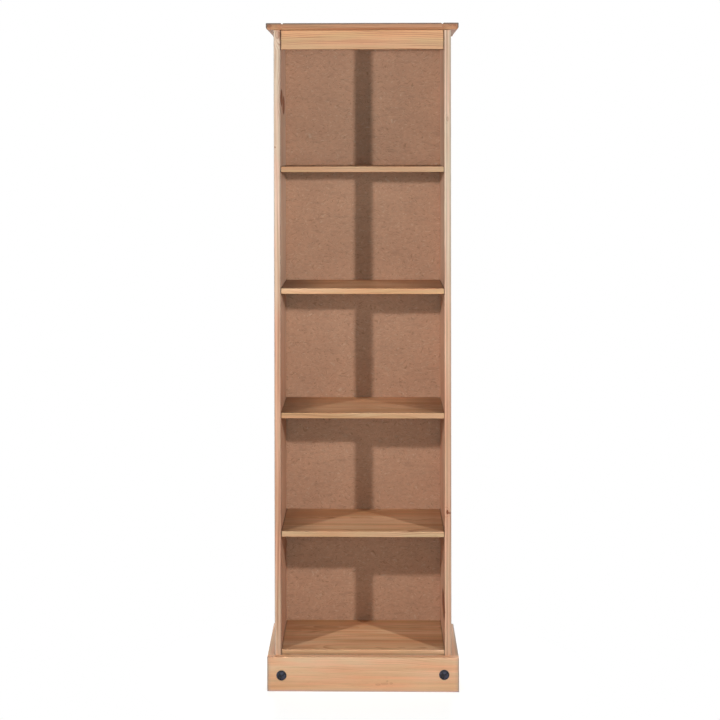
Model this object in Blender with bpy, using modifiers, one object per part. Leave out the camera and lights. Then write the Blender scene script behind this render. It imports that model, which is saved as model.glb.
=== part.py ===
"""A tall narrow pine bookcase: five open bays, a plinth with two iron studs and a hardboard back.

Metres, with Z up. The front faces -Y, and the origin is on the floor under the middle of the whole.
"""

import math

import bmesh
import bpy
from mathutils import Vector

# Overall sizes
overall_width = 0.520
overall_height = 1.810
plinth_depth = 0.295

# Fits that every joint shares
joint_gap = 0.0003
bore_gap = 0.0003
cut_overrun = 0.002
arris = 0.0008

# Top: a centre board with a cross-grained cap tongued on to each end
top_thickness = 0.018
top_cap_width = 0.044
top_upper_round = 0.002
top_lower_round = 0.007
top_groove_depth = 0.0035
tongue_thickness = 0.006
tongue_length = 0.008

# Sides and the rail under the top
side_thickness = 0.018
side_round = 0.0018
header_height = 0.0515
header_thickness = 0.018
header_setback = 0.001
header_end_gap = 0.002
header_round = 0.0022

# Shelves, with the clear height of each bay counted down from the second
shelf_thickness = 0.015
shelf_round = 0.0024
shelf_setback = 0.0008
shelf_end_gap = 0.0008
bay_2_height = 0.316
bay_3_height = 0.3235
bay_4_height = 0.308
bay_5_height = 0.3075
base_shelf_rise = 0.014

# Back panel, which slides in a groove down each side
panel_thickness = 0.003
panel_inset = 0.0105
panel_groove_depth = 0.006

# Plinth
plinth_height = 0.0935
plinth_thickness = 0.0195
plinth_top_round = 0.0025
plinth_corner_round = 0.0042
block_width = 0.022
block_clearance = 0.006

# Domed iron studs. Each was driven in by hand, so each has its own place.
stud_diameter = 0.0275
stud_dome = 0.0032
stud_rim = 0.0008
stud_shank_diameter = 0.004
stud_shank_length = 0.016
stud_left_from_end = 0.0388
stud_left_height = 0.0437
stud_right_from_end = 0.0403
stud_right_height = 0.0474

# Dowels
dowel_diameter = 0.008
dowel_length = 0.030
dowel_chamfer = 0.001
dowel_in_side_share = 0.55
dowel_in_top_share = 0.55
fixing_inset = 0.037

# Cam fittings of the two shelves that draw the case together
cam_diameter = 0.015
cam_height_share = 0.77
cam_distance = 0.034
cam_cross_length = 0.009
cam_cross_width = 0.0014
cam_cross_depth = 0.0016
bolt_thread_diameter = 0.006
bolt_thread_length = 0.011
bolt_collar_diameter = 0.0072
bolt_collar_length = 0.0016
bolt_shank_diameter = 0.0052
bolt_neck_diameter = 0.0036
bolt_neck_length = 0.0048
bolt_head_diameter = 0.0066
bolt_head_length = 0.0036
bolt_tip_length = 0.0012

# Pan-headed screws of the back panel
screw_head_diameter = 0.007
screw_head_height = 0.0022
screw_head_edge = 0.0010
screw_shank_diameter = 0.003
screw_length = 0.016
screw_tip_length = 0.003
screw_spacing = 0.260

# Facets, and the angles that part a rounded face from a sharp edge
round_steps = 2
stud_sides = 32
dome_steps = 5
dowel_sides = 10
cam_sides = 18
screw_sides = 12
v_groove_sides = 4
rim_angle = math.radians(50)
cam_rim_angle = math.radians(30)

# Places that the sizes give
plinth_face_y = (stud_dome - plinth_depth) / 2
rear_y = plinth_face_y + plinth_depth
plinth_inner_y = plinth_face_y + plinth_thickness
case_face_y = plinth_inner_y + joint_gap
side_outer_x = overall_width / 2 - plinth_thickness - joint_gap
side_inner_x = side_outer_x - side_thickness
panel_rear_y = rear_y - panel_inset
panel_front_y = panel_rear_y - panel_thickness
shelf_end_x = side_inner_x - shelf_end_gap
header_end_x = side_inner_x - header_end_gap
block_end_x = side_inner_x - joint_gap
shelf_front_y = case_face_y + shelf_setback
shelf_rear_y = panel_front_y - joint_gap
top_under_z = overall_height - top_thickness
side_top_z = top_under_z - joint_gap
base_shelf_top_z = plinth_height + base_shelf_rise
base_shelf_under_z = base_shelf_top_z - shelf_thickness
top_joint_x = overall_width / 2 - top_cap_width
front_fixing_y = case_face_y + fixing_inset
rear_fixing_y = panel_front_y - fixing_inset

DIRECTIONS = {
    "left": Vector((-1, 0, 0)),
    "right": Vector((1, 0, 0)),
    "front": Vector((0, -1, 0)),
    "back": Vector((0, 1, 0)),
    "bottom": Vector((0, 0, -1)),
    "top": Vector((0, 0, 1)),
}
CAM_SHELVES = ("shelf_2", "base_shelf")

for old in list(bpy.data.objects):
    bpy.data.objects.remove(old, do_unlink=True)

parts = bpy.data.collections.new("narrow_bookcase")
cutters = bpy.data.collections.new("cutters")
for group in (parts, cutters):
    bpy.context.scene.collection.children.link(group)


def linear(code):
    """The linear red, green and blue of a colour written as six hexadecimal digits."""
    shares = [int(code[at : at + 2], 16) / 255 for at in (0, 2, 4)]
    return [s / 12.92 if s <= 0.04045 else ((s + 0.055) / 1.055) ** 2.4 for s in shares]


def finish(name, code, roughness, metallic=0.0):
    """A plain material in one colour."""
    material = bpy.data.materials.new(name)
    material.use_nodes = True
    shader = material.node_tree.nodes["Principled BSDF"]
    shader.inputs["Base Color"].default_value = (*linear(code), 1)
    shader.inputs["Roughness"].default_value = roughness
    shader.inputs["Metallic"].default_value = metallic
    return material


top_pine = finish("top_pine", "C8926A", 0.45)
header_pine = finish("header_pine", "D4A982", 0.45)
side_pine = finish("side_pine", "D2AE94", 0.45)
shelf_pine = finish("shelf_pine", "CFA27C", 0.45)
plinth_pine = finish("plinth_pine", "DBAE8A", 0.45)
block_pine = finish("block_pine", "DCBE96", 0.60)
hardboard = finish("hardboard", "A0775E", 0.60)
iron = finish("iron", "3C3E46", 0.50, 0.6)
beech = finish("beech", "D8BC94", 0.60)
zinc = finish("zinc", "B4B6B8", 0.35, 1.0)


def add_object(name, mesh, material=None, group=parts):
    """Puts a mesh in the scene. One without a material is a cutter."""
    item = bpy.data.objects.new(name, mesh)
    if material:
        mesh.materials.clear()
        mesh.materials.append(material)
    if group is cutters:
        item.hide_render = True
        item.display_type = "WIRE"
    group.objects.link(item)
    return item


def both_hands():
    """The name of each hand, with the way that it lies along X."""
    return ("left", -1), ("right", 1)


def sides_of(edge):
    """The two sides of a box centred on the origin that meet at an edge, such as 'front top'."""
    middle = (edge.verts[0].co + edge.verts[1].co) / 2
    return " ".join(name for name, outward in DIRECTIONS.items() if middle.dot(outward) > 0)


def board(name, low, high, material, rounds=None, group=parts):
    """A plank between two corners. rounds gives a radius to the arrises that it names."""
    rounds = rounds or {}
    largest = max(rounds.values(), default=0)
    shape = bmesh.new()
    bmesh.ops.create_cube(shape, size=1)
    weights = shape.edges.layers.float.new("bevel_weight_edge")
    for edge in shape.edges:
        edge[weights] = rounds.get(sides_of(edge), 0) / largest if largest else 0
    bmesh.ops.scale(shape, vec=Vector(high) - Vector(low), verts=shape.verts)
    mesh = bpy.data.meshes.new(name)
    shape.to_mesh(mesh)
    shape.free()
    plank = add_object(name, mesh, material, group)
    plank.location = (Vector(low) + Vector(high)) / 2
    if largest:
        bevel = plank.modifiers.new("Rounded arrises", "BEVEL")
        bevel.limit_method = "WEIGHT"
        bevel.width = largest
        bevel.segments = round_steps
    return plank


def every_arris(radius, **larger):
    """The same radius on all twelve arrises, but for those named, as in front_top=0.002."""
    names = list(DIRECTIONS)
    pairs = [f"{a} {b}" for at, a in enumerate(names) for b in names[at + 1 :]]
    rounds = {pair: radius for pair in pairs}
    rounds.update({pair.replace("_", " "): value for pair, value in larger.items()})
    return rounds


def join_or_cut(piece, tool, operation="DIFFERENCE"):
    """Cuts a tool out of a piece, or joins it on."""
    boolean = piece.modifiers.new(tool.name, "BOOLEAN")
    boolean.operation = operation
    boolean.solver = "EXACT"
    boolean.object = tool


def cut_box(name, low, high, *pieces):
    """Cuts the same box out of each piece."""
    tool = board(name, low, high, None, group=cutters)
    for piece in pieces:
        join_or_cut(piece, tool)


def stand_between(item, start, end):
    """Lays an item whose length runs along its Z from one point to another."""
    along = Vector(end) - Vector(start)
    item.location = (Vector(start) + Vector(end)) / 2
    item.rotation_mode = "QUATERNION"
    item.rotation_quaternion = along.to_track_quat("Z", "Y")


def bar_mesh(name, radius, length, sides):
    """A round bar centred on the origin, along Z."""
    shape = bmesh.new()
    bmesh.ops.create_cone(
        shape, cap_ends=True, segments=sides, radius1=radius, radius2=radius, depth=length
    )
    mesh = bpy.data.meshes.new(name)
    shape.to_mesh(mesh)
    shape.free()
    mesh.shade_smooth()
    mesh.set_sharp_from_angle(angle=rim_angle)
    return mesh


def bore(name, start, end, radius, sides, *pieces):
    """Cuts a round hole between two points out of each piece."""
    length = (Vector(end) - Vector(start)).length
    tool = add_object(name, bar_mesh(name, radius, length, sides), group=cutters)
    stand_between(tool, start, end)
    for piece in pieces:
        join_or_cut(piece, tool)


def profile_mesh(name, points):
    """A line of (radius, height) points in the XZ plane, from the top of a turned piece to its foot."""
    shape = bmesh.new()
    corners = [shape.verts.new((radius, 0, height)) for radius, height in points]
    for upper, lower in zip(corners, corners[1:]):
        shape.edges.new((upper, lower))
    mesh = bpy.data.meshes.new(name)
    shape.to_mesh(mesh)
    shape.free()
    return mesh


def turned(name, mesh, sides, material):
    """A profile turned about Z."""
    item = add_object(name, mesh, material)
    screw = item.modifiers.new("Turned", "SCREW")
    screw.steps = sides
    screw.render_steps = sides
    screw.use_merge_vertices = True
    screw.merge_threshold = joint_gap / 10
    screw.use_smooth_shade = True
    return item


def shelf_levels():
    """The height of each shelf's upper face, counted up from the base shelf."""
    level = base_shelf_top_z
    levels = {"base_shelf": level}
    bays = {
        "shelf_4": bay_5_height,
        "shelf_3": bay_4_height,
        "shelf_2": bay_3_height,
        "shelf_1": bay_2_height,
    }
    for name, clear in bays.items():
        level += clear + shelf_thickness
        levels[name] = level
    return levels


def make_top():
    """The centre board, its two caps, their tongues and the grooves over the two joints."""
    lines = {
        "front top": top_upper_round,
        "front bottom": top_lower_round,
        "back top": top_upper_round,
        "back bottom": arris,
    }
    centre = board(
        "top_centre_board",
        (-top_joint_x, plinth_face_y, top_under_z),
        (top_joint_x, rear_y, overall_height),
        top_pine,
        lines,
    )
    caps = {}
    tongue_z = overall_height - (top_thickness + tongue_thickness) / 2
    for hand, sign in both_hands():
        inner_x = top_joint_x + joint_gap
        outer_x = overall_width / 2
        cap = board(
            f"top_cap_{hand}",
            (min(sign * inner_x, sign * outer_x), plinth_face_y, top_under_z),
            (max(sign * inner_x, sign * outer_x), rear_y, overall_height),
            top_pine,
            {
                **lines,
                f"{hand} top": top_upper_round,
                f"{hand} bottom": top_lower_round,
                f"{hand} front": top_upper_round,
                f"{hand} back": arris,
            },
        )
        root_x = top_joint_x - tongue_length
        tip_x = top_joint_x + tongue_length
        tongue = board(
            f"tongue_{hand}",
            (min(sign * root_x, sign * tip_x), plinth_face_y + top_lower_round, tongue_z),
            (max(sign * root_x, sign * tip_x), rear_y - top_lower_round, tongue_z + tongue_thickness),
            None,
            group=cutters,
        )
        join_or_cut(centre, tongue, "UNION")
        groove_x = top_joint_x - cut_overrun
        socket_x = tip_x + joint_gap
        cut_box(
            f"tongue_groove_{hand}",
            (
                min(sign * groove_x, sign * socket_x),
                plinth_face_y + top_lower_round - joint_gap,
                tongue_z - joint_gap,
            ),
            (
                max(sign * groove_x, sign * socket_x),
                rear_y - top_lower_round + joint_gap,
                tongue_z + tongue_thickness + joint_gap,
            ),
            cap,
        )
        joint_x = sign * (top_joint_x + joint_gap / 2)
        bore(
            f"v_groove_{hand}",
            (joint_x, plinth_face_y - cut_overrun, overall_height),
            (joint_x, rear_y + cut_overrun, overall_height),
            top_groove_depth,
            v_groove_sides,
            centre,
            cap,
        )
        caps[hand] = cap
    return caps


def make_sides():
    """The two uprights, from the floor to the top, each with a groove for the back panel."""
    sides = {}
    for hand, sign in both_hands():
        inner = "right" if hand == "left" else "left"
        low_x, high_x = sorted((sign * side_outer_x, sign * side_inner_x))
        side = board(
            f"side_{hand}",
            (low_x, case_face_y, 0),
            (high_x, rear_y, side_top_z),
            side_pine,
            {
                f"{hand} front": side_round,
                f"{inner} front": side_round,
                f"{hand} back": arris,
                f"{inner} back": arris,
                "front bottom": arris,
                "back bottom": arris,
            },
        )
        groove_low_x, groove_high_x = sorted(
            (sign * (side_inner_x - cut_overrun), sign * (side_inner_x + panel_groove_depth))
        )
        cut_box(
            f"panel_groove_{hand}",
            (groove_low_x, panel_front_y - joint_gap, base_shelf_under_z - joint_gap),
            (groove_high_x, panel_rear_y + joint_gap, side_top_z + cut_overrun),
            side,
        )
        sides[hand] = side
    return sides


def make_header():
    """The rail between the sides, under the front of the top."""
    front_y = case_face_y + header_setback
    return board(
        "header_rail",
        (-header_end_x, front_y, side_top_z - header_height),
        (header_end_x, front_y + header_thickness, side_top_z),
        header_pine,
        every_arris(arris, front_bottom=header_round, left_front=header_round, right_front=header_round),
    )


def make_shelves():
    """The base shelf and the four above it."""
    shelves = {}
    for name, level in shelf_levels().items():
        shelves[name] = board(
            name,
            (-shelf_end_x, shelf_front_y, level - shelf_thickness),
            (shelf_end_x, shelf_rear_y, level),
            shelf_pine,
            {
                "front top": shelf_round,
                "front bottom": shelf_round,
                "left front": arris,
                "right front": arris,
            },
        )
    return shelves


def make_panel():
    """The hardboard back, from the underside of the base shelf to the top."""
    half_width = side_inner_x + panel_groove_depth - joint_gap
    return board(
        "back_panel",
        (-half_width, panel_front_y, base_shelf_under_z),
        (half_width, panel_rear_y, side_top_z),
        hardboard,
    )


def make_plinth():
    """The front board, a return along each side and a glued block in each inner corner."""
    rounds = every_arris(
        arris,
        front_top=plinth_top_round,
        left_front=plinth_corner_round,
        right_front=plinth_corner_round,
        left_top=plinth_top_round,
        right_top=plinth_top_round,
    )
    front = board(
        "plinth_front",
        (-overall_width / 2, plinth_face_y, 0),
        (overall_width / 2, plinth_inner_y, plinth_height),
        plinth_pine,
        rounds,
    )
    for hand, sign in both_hands():
        return_low_x, return_high_x = sorted((sign * overall_width / 2, sign * (side_outer_x + joint_gap)))
        board(
            f"plinth_return_{hand}",
            (return_low_x, case_face_y, 0),
            (return_high_x, rear_y, plinth_height),
            plinth_pine,
            {
                f"{hand} top": plinth_top_round,
                f"{hand} bottom": arris,
                f"{hand} back": arris,
                "back top": arris,
            },
        )
        block_low_x, block_high_x = sorted((sign * block_end_x, sign * (block_end_x - block_width)))
        board(
            f"plinth_block_{hand}",
            (block_low_x, case_face_y, block_clearance),
            (block_high_x, case_face_y + block_width, base_shelf_under_z - block_clearance),
            block_pine,
            every_arris(arris),
        )
    return front


def make_studs(front):
    """Two domed iron studs, each driven into the plinth by its shank."""
    head = stud_diameter / 2
    shank = stud_shank_diameter / 2
    cap_height = stud_dome - stud_rim
    sphere = (head**2 + cap_height**2) / (2 * cap_height)
    widest = math.asin(head / sphere)
    angles = [widest * step / dome_steps for step in range(dome_steps + 1)]
    dome = [(sphere * math.sin(a), stud_dome - sphere * (1 - math.cos(a))) for a in angles]
    seat = joint_gap
    foot = [
        (head, seat),
        (shank, seat),
        (shank, stud_shank_diameter - stud_shank_length),
        (0, -stud_shank_length),
    ]
    mesh = profile_mesh("stud_profile", dome + foot)
    places = {
        "left": (stud_left_from_end, stud_left_height),
        "right": (stud_right_from_end, stud_right_height),
    }
    for hand, sign in both_hands():
        from_end, height = places[hand]
        x = sign * (overall_width / 2 - from_end)
        stud = turned(f"stud_{hand}", mesh, stud_sides, iron)
        stud.location = (x, plinth_face_y, height)
        stud.rotation_euler = (math.radians(90), 0, 0)
        bore(
            f"stud_bore_{hand}",
            (x, plinth_face_y - cut_overrun, height),
            (x, plinth_face_y + stud_shank_length + bore_gap, height),
            shank + bore_gap,
            dowel_sides,
            front,
        )


def add_dowel(name, start, end, *pieces):
    """A dowel between two points, and its bore in the two pieces that it joins."""
    along = (Vector(end) - Vector(start)).normalized()
    mesh = bpy.data.meshes.get("dowel") or bar_mesh("dowel", dowel_diameter / 2, dowel_length, dowel_sides)
    dowel = add_object(name, mesh, beech)
    stand_between(dowel, start, end)
    chamfer = dowel.modifiers.new("Chamfered ends", "BEVEL")
    chamfer.limit_method = "ANGLE"
    chamfer.angle_limit = rim_angle
    chamfer.width = dowel_chamfer
    chamfer.segments = 1
    bore(
        f"bore_{name}",
        Vector(start) - along * bore_gap,
        Vector(end) + along * bore_gap,
        dowel_diameter / 2 + bore_gap,
        dowel_sides,
        *pieces,
    )


def cam_mesh():
    """A cam housing standing on its face: a mouth for the bolt's head, and a cross for the driver."""
    height = shelf_thickness * cam_height_share
    radius = cam_diameter / 2
    mouth = bolt_head_diameter / 2 + bore_gap
    blank = add_object("cam_blank", bar_mesh("cam_blank", radius, height, cam_sides), group=cutters)
    blank.location.z = height / 2
    cut_box(
        "cam_mouth",
        (-radius - cut_overrun, -mouth, shelf_thickness / 2 - mouth),
        (mouth, mouth, height + cut_overrun),
        blank,
    )
    for name, half_x, half_y in (
        ("cam_cross_long", cam_cross_length / 2, cam_cross_width / 2),
        ("cam_cross_wide", cam_cross_width / 2, cam_cross_length / 2),
    ):
        cut_box(name, (-half_x, -half_y, -cut_overrun), (half_x, half_y, cam_cross_depth), blank)
    bpy.context.view_layer.update()
    seen = blank.evaluated_get(bpy.context.evaluated_depsgraph_get())
    mesh = bpy.data.meshes.new_from_object(seen)
    mesh.transform(blank.matrix_world)
    mesh.name = "cam"
    mesh.shade_smooth()
    mesh.set_sharp_from_angle(angle=cam_rim_angle)
    return mesh


def bolt_mesh():
    """A bolt along Z with its collar's foot at the side's face, its thread below and its head above."""
    thread = bolt_thread_diameter / 2
    collar = bolt_collar_diameter / 2
    shank = bolt_shank_diameter / 2
    neck = bolt_neck_diameter / 2
    head = bolt_head_diameter / 2
    reach = cam_distance + shelf_end_gap + bolt_head_length / 2
    head_foot = reach - bolt_head_length
    neck_foot = head_foot - bolt_neck_length
    points = [
        (0, reach),
        (head - bolt_tip_length, reach),
        (head, reach - bolt_tip_length),
        (head, head_foot),
        (neck, head_foot),
        (neck, neck_foot),
        (shank, neck_foot),
        (shank, bolt_collar_length + joint_gap),
        (collar, bolt_collar_length + joint_gap),
        (collar, joint_gap),
        (thread, joint_gap),
        (thread, bolt_tip_length - bolt_thread_length),
        (0, -bolt_thread_length),
    ]
    return profile_mesh("bolt_profile", points)


def make_cam_fitting(label, sign, middle_z, side, shelf, housing, profile):
    """A bolt in a side and the cam in the underside of a shelf that draws its head in."""
    face_x = sign * side_inner_x
    cam_x = sign * (shelf_end_x - cam_distance)
    y = front_fixing_y
    bolt = turned(f"cam_bolt_{label}", profile, screw_sides, zinc)
    bolt.location = (face_x, y, middle_z)
    bolt.rotation_euler = (0, math.radians(-90 * sign), 0)
    cam = add_object(f"cam_{label}", housing, zinc)
    under_z = middle_z - shelf_thickness / 2
    cam.location = (cam_x, y, under_z)
    cam.rotation_euler = (0, 0, math.radians(180) if sign > 0 else 0)
    bore(
        f"bore_thread_{label}",
        (face_x - sign * cut_overrun, y, middle_z),
        (face_x + sign * (bolt_thread_length + bore_gap), y, middle_z),
        bolt_thread_diameter / 2 + bore_gap,
        screw_sides,
        side,
    )
    bore(
        f"bore_bolt_{label}",
        (face_x + sign * cut_overrun, y, middle_z),
        (cam_x, y, middle_z),
        bolt_collar_diameter / 2 + bore_gap,
        screw_sides,
        shelf,
    )
    bore(
        f"bore_cam_{label}",
        (cam_x, y, under_z - cut_overrun),
        (cam_x, y, under_z + shelf_thickness * cam_height_share + bore_gap),
        cam_diameter / 2 + bore_gap,
        cam_sides,
        shelf,
    )


def screw_mesh():
    """A pan-headed screw along Z, with the seat of its head at the origin."""
    head = screw_head_diameter / 2
    shank = screw_shank_diameter / 2
    points = [
        (0, screw_head_height),
        (head - screw_head_edge, screw_head_height),
        (head, screw_head_height - screw_head_edge),
        (head, 0),
        (shank, 0),
        (shank, screw_tip_length - screw_length),
        (0, -screw_length),
    ]
    return profile_mesh("screw_profile", points)


def make_panel_screw(label, x, z, panel, shelf, profile):
    """A screw through the back panel into the rear edge of a shelf."""
    seat_y = panel_rear_y + joint_gap
    screw = turned(f"panel_screw_{label}", profile, screw_sides, zinc)
    screw.location = (x, seat_y, z)
    screw.rotation_euler = (math.radians(-90), 0, 0)
    bore(
        f"bore_panel_screw_{label}",
        (x, seat_y - screw_length - bore_gap, z),
        (x, panel_rear_y + cut_overrun, z),
        screw_shank_diameter / 2 + bore_gap,
        dowel_sides,
        panel,
        shelf,
    )


def join_shelves(sides, shelves, panel):
    """Fits every shelf to the sides and to the back panel."""
    housing = cam_mesh()
    bolt_profile = bolt_mesh()
    screw_profile = screw_mesh()
    in_side = side_thickness * dowel_in_side_share
    for name, level in shelf_levels().items():
        middle_z = level - shelf_thickness / 2
        shelf = shelves[name]
        for hand, sign in both_hands():
            label = f"{name}_{hand}"
            far_x = sign * (side_inner_x + in_side)
            near_x = far_x - sign * dowel_length
            places = {"front": front_fixing_y, "rear": rear_fixing_y}
            if name in CAM_SHELVES:
                del places["front"]
                make_cam_fitting(label, sign, middle_z, sides[hand], shelf, housing, bolt_profile)
            for place, y in places.items():
                start, end = (near_x, y, middle_z), (far_x, y, middle_z)
                add_dowel(f"dowel_{label}_{place}", start, end, sides[hand], shelf)
            make_panel_screw(label, sign * screw_spacing / 2, middle_z, panel, shelf, screw_profile)


def join_top(sides, caps, header):
    """Dowels from the sides up into the caps, and from the header rail into the sides."""
    in_side = side_thickness * dowel_in_side_share
    high_z = top_under_z + top_thickness * dowel_in_top_share
    header_y = case_face_y + header_setback + header_thickness / 2
    header_z = side_top_z - header_height / 2
    for hand, sign in both_hands():
        x = sign * (side_outer_x + side_inner_x) / 2
        for place, y in (("front", front_fixing_y), ("rear", rear_fixing_y)):
            start, end = (x, y, high_z - dowel_length), (x, y, high_z)
            add_dowel(f"dowel_top_{hand}_{place}", start, end, sides[hand], caps[hand])
        far_x = sign * (side_inner_x + in_side)
        start, end = (far_x - sign * dowel_length, header_y, header_z), (far_x, header_y, header_z)
        add_dowel(f"dowel_header_{hand}", start, end, sides[hand], header)


side_boards = make_sides()
shelf_boards = make_shelves()
back_panel = make_panel()
make_studs(make_plinth())
join_top(side_boards, make_top(), make_header())
join_shelves(side_boards, shelf_boards, back_panel)
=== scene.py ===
"""Dresses a tall narrow pine bookcase and sets its stage.

Metres, with Z up. The front faces -Y, and every board takes its size and place from the frame.
"""

import math

import bmesh
import bpy
from bpy.props import FloatProperty, FloatVectorProperty, PointerProperty
from mathutils import Matrix, Vector, noise


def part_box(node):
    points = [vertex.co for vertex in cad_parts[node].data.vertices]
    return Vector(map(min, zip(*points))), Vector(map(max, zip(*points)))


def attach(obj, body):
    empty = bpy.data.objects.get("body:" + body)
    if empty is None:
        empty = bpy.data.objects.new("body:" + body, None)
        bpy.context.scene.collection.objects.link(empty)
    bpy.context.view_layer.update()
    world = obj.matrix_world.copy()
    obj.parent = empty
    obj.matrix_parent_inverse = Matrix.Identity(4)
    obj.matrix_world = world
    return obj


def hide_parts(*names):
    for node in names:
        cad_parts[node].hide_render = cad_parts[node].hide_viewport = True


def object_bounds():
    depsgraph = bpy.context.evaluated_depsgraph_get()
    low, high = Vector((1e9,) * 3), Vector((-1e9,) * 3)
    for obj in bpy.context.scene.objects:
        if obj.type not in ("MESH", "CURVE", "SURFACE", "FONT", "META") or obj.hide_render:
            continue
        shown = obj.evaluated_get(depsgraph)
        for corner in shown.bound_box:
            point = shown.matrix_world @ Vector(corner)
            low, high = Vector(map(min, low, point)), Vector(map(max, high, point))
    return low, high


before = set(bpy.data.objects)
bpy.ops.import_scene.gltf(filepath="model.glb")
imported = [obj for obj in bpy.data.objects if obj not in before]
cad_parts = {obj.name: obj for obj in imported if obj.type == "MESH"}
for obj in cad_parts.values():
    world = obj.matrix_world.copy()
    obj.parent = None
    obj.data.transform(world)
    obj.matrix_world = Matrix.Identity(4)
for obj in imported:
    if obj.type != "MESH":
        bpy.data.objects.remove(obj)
CAD_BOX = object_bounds()

bl_info = {
    "name": "Narrow Pine Bookcase",
    "version": (1, 0, 0),
    "blender": (4, 5, 0),
    "location": "View3D > Sidebar > Bookcase",
    "description": "Finishes the boards, back panel and ironwork of a tall pine bookcase and sets its stage",
    "category": "Add Mesh",
}

HANDS = (("left", -1), ("right", 1))

# The hand that faces the middle of the case from each side
OTHER = {"left": "right", "right": "left"}
SHELVES = ("shelf_1", "shelf_2", "shelf_3", "shelf_4", "base_shelf")

# Fits and small sizes that the boards share
joint_gap = 0.0003
cut_overrun = 0.002
arris = 0.0009
smooth_angle = math.radians(35)
round_segments = 5
bore_sides = 24
screw_shank = 0.003
stud_shank = 0.004

# How far a knot bends the rings, in ring widths, and what multiplies the colour of its heart
knot_bend = 2.2
knot_heart = (0.66, 0.5, 0.44)

# Depths of the fine relief on the surfaces
grain_depth = 0.00012
fibre_depth = 0.00025
iron_depth = 0.00008
zinc_depth = 0.00004

# Which world axis runs along the grain, across the board's face and through its thickness
FLAT = "XYZ"
CAP = "YXZ"
UPRIGHT = "ZYX"
RAIL = "XZY"
RETURN = "YZX"
BLOCK = "ZXY"

DIRECTIONS = {
    "left": Vector((-1, 0, 0)),
    "right": Vector((1, 0, 0)),
    "front": Vector((0, -1, 0)),
    "back": Vector((0, 1, 0)),
    "bottom": Vector((0, 0, -1)),
    "top": Vector((0, 0, 1)),
}


def linear(code):
    """The linear red, green and blue of a colour written as six hexadecimal digits."""
    shares = [int(code[at : at + 2], 16) / 255 for at in (0, 2, 4)]
    return tuple(s / 12.92 if s <= 0.04045 else ((s + 0.055) / 1.055) ** 2.4 for s in shares)


def field(kind, name, description, default, **more):
    """A setting that the user can change."""
    return kind(name=name, description=description, default=default, **more)


def colour(name, description, code):
    """A colour, with its default as six hexadecimal digits."""
    return field(FloatVectorProperty, name, description, linear(code), subtype="COLOR", size=3, min=0, max=1)


def length(name, description, default):
    """A length in metres."""
    return field(FloatProperty, name, description, default, unit="LENGTH", min=0, precision=4)


def number(name, description, default):
    """A plain number or share."""
    return field(FloatProperty, name, description, default)


def position(name, description, default):
    """A place in the scene, in metres."""
    return field(FloatVectorProperty, name, description, default, subtype="TRANSLATION", size=3)


def turn(name, description, degrees):
    """An angle, with its default in degrees."""
    return field(FloatProperty, name, description, math.radians(degrees), unit="ROTATION", precision=4)


def strips(width):
    """The width of the strips of a glued board."""
    return length("Stave width", "Width of the strips that the board is glued from", width)


def settings_group(name, summary, **fields):
    """A group of settings."""
    return type(name, (bpy.types.PropertyGroup,), {"__doc__": summary, "__annotations__": fields})


def wood_settings(name, summary, pale, warm, late, ring_width, **more):
    """Settings for the wood of some boards, and for what else these boards need."""
    return settings_group(
        name,
        summary,
        pale=colour("Early wood", "Pale bands of the grain", pale),
        warm=colour("Warm drift", "Broad drift of the heartwood", warm),
        late=colour("Late wood", "Thin dark lines of the grain", late),
        ring_width=length("Ring width", "Distance between two growth rings", ring_width),
        **more,
    )


TopSettings = wood_settings(
    "TopSettings", "The centre board of the top and its two end caps.", "C28F6A", "B77D5A", "8D512B", 0.0042,
    stave_width=strips(0.098),
    upper_round=length("Upper arris", "Radius of the upper arrises", 0.002),
    lower_round=length("Lower arris", "Radius of the thumb moulding below", 0.007),
    groove_depth=length("Groove depth", "Depth of the V-grooves over the two joints", 0.0035),
)

SideSettings = wood_settings(
    "SideSettings", "The two uprights.", "E7CCB5", "DEB69D", "AE785C", 0.0046,
    stave_width=strips(0.092),
    front_round=length("Front arris", "Radius of the outer front arrises", 0.0018),
    left_heart=colour("Left heartwood", "Multiplies the colours of the left side's lower part", "EED9CD"),
    right_heart=colour("Right heartwood", "Multiplies the colours of the right side's lower part", "FCECE3"),
)

HeaderSettings = wood_settings(
    "HeaderSettings", "The rail under the front of the top.", "D0AA82", "D19E78", "A05C3C", 0.0034,
    front_round=length("Front arris", "Radius of the lower front arris", 0.0022),
    heart=colour("Heartwood", "Multiplies the colours of the upper part", "FFF3EA"),
)

ShelfSettings = wood_settings(
    "ShelfSettings", "The base shelf and the four shelves above it.", "E3B890", "D39D71", "A2643E", 0.005,
    stave_width=strips(0.087),
    front_round=length("Front arris", "Radius of the two front arrises", 0.0024),
)

PlinthSettings = wood_settings(
    "PlinthSettings", "The plinth's front board and its two returns.", "E1BB99", "DDA781", "B7835B", 0.0032,
    top_round=length("Top arris", "Radius of the upper arrises", 0.0025),
    corner_round=length("Corner arris", "Radius of the two upright corners", 0.0042),
    heart=colour("Heartwood", "Multiplies the colours of the lower part", "F9EFE6"),
)

BlockSettings = wood_settings(
    "BlockSettings", "The bare blocks glued behind the plinth.", "E0C49C", "D8B488", "B88858", 0.003
)

DowelSettings = wood_settings("DowelSettings", "The beech dowels.", "DCC098", "D0AE84", "B08A60", 0.003)


class PanelSettings(bpy.types.PropertyGroup):
    """The hardboard back."""

    board: colour("Hardboard", "Pressed fibre", "C8997C")
    dark: colour("Dark fibre", "Darker fibres and specks", "A4785A")
    light: colour("Pale fibre", "Paler fibres", "D3AF93")
    mesh_pitch: length("Mesh pitch", "Spacing of the press screen's print on the rear", 0.0024)


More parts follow.
